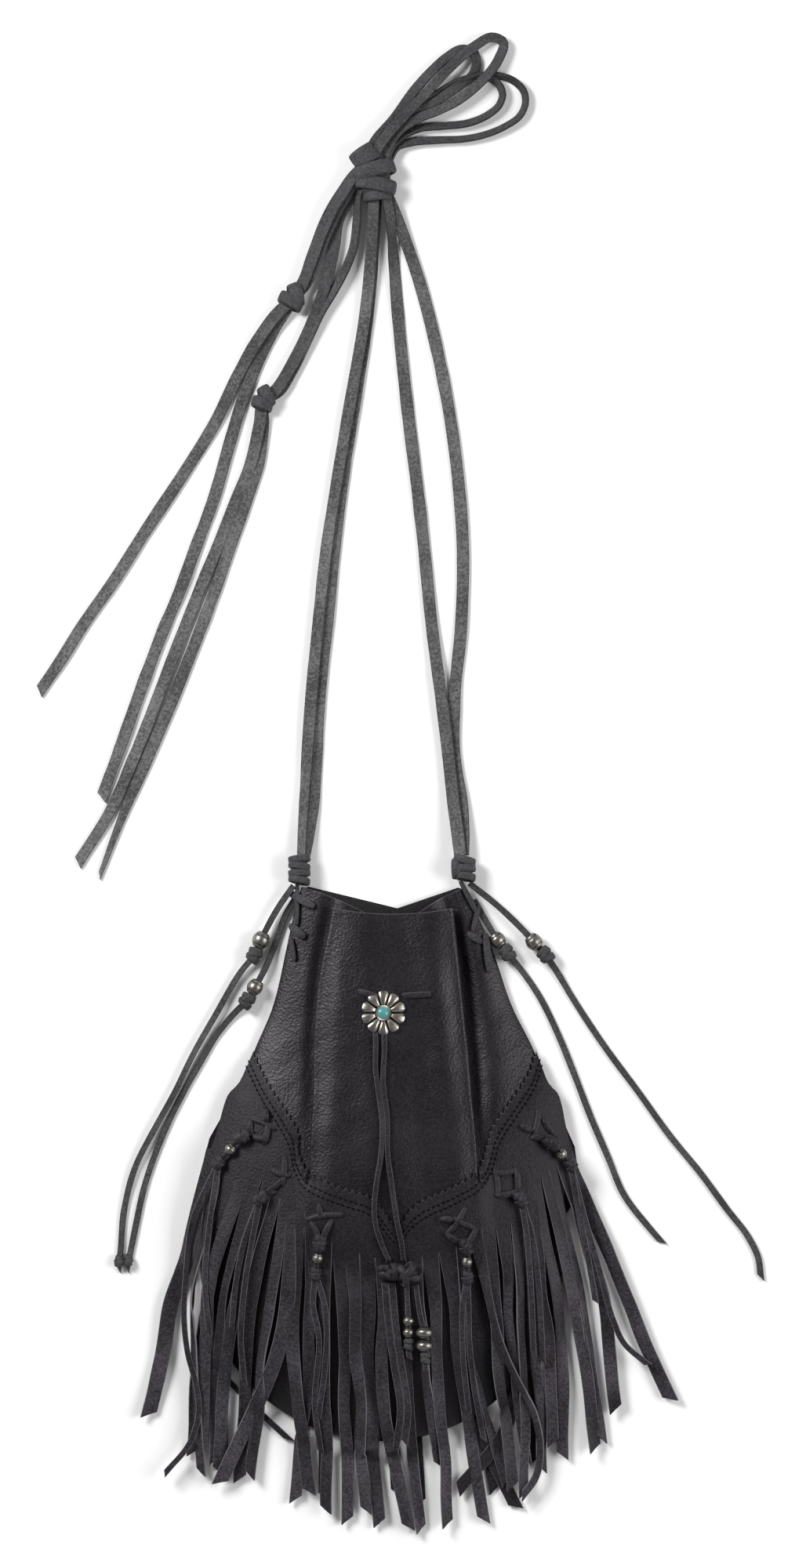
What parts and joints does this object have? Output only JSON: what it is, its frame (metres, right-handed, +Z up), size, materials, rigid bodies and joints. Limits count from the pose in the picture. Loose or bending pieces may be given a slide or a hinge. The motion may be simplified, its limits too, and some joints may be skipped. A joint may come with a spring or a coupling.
{
  "type": "fringe bag",
  "caption": "Soft leather drawstring pouch with a pleated front, a pinked yoke cut into long fringe, lace ties with metal beads, a petalled disc and a tied lace strap.",
  "frame": {"origin": "on the floor, at the middle of the bag and its fringe, which lie on their back", "axes": "X across the bag, Y from the fringe tips to the mouth and on to the strap, Z up out of the bag's front"},
  "size_m": [0.3542, 0.726, 0.0322],
  "materials": {
    "bag_leather": "soft sheen, fine pebble grain",
    "fringe_leather": "matte, thin cut edges",
    "lace_leather": "matte flesh side",
    "pewter": "antiqued",
    "silver": "antiqued, stamped",
    "turquoise": "polished"
  },
  "bodies": {
    "root": {"bag_back": "bag_leather", "bag_front": "bag_leather", "concho": "silver", "concho_stone": "turquoise", "dangle_bead_left_1": "pewter", "dangle_bead_left_2": "pewter", "dangle_bead_right_1": "pewter", "dangle_bead_right_2": "pewter", "dangle_left_1": "lace_leather", "dangle_left_2": "lace_leather", "dangle_right_1": "lace_leather", "dangle_right_2": "lace_leather", "drawstring_bar": "lace_leather", "drawstring_bead_1": "pewter", "drawstring_bead_2": "pewter", "drawstring_bead_3": "pewter", "drawstring_bead_4": "pewter", "drawstring_knot": "lace_leather", "drawstring_left": "lace_leather", "drawstring_right": "lace_leather", "drawstring_tail_large": "lace_leather", "drawstring_tail_plain": "lace_leather", "drawstring_tail_small": "lace_leather", "edge_lacing_left": "lace_leather", "edge_lacing_right": "lace_leather", "fringe_back": "fringe_leather", "fringe_front": "fringe_leather", "side_knot_left": "lace_leather", "side_knot_right": "lace_leather", "strap_knot": "lace_leather", "strap_left_1": "lace_leather", "strap_left_2": "lace_leather", "strap_loops": "lace_leather", "strap_right_1": "lace_leather", "strap_right_2": "lace_leather", "strap_tail_left": "lace_leather", "strap_tail_right": "lace_leather", "tie_1": "lace_leather", "tie_2": "lace_leather", "tie_3": "lace_leather", "tie_4": "lace_leather", "tie_5": "lace_leather", "tie_6": "lace_leather", "tie_bead_1": "pewter", "tie_bead_3": "pewter", "tie_bead_4": "pewter", "tie_bead_6": "pewter"}
  },
  "joints": []
}
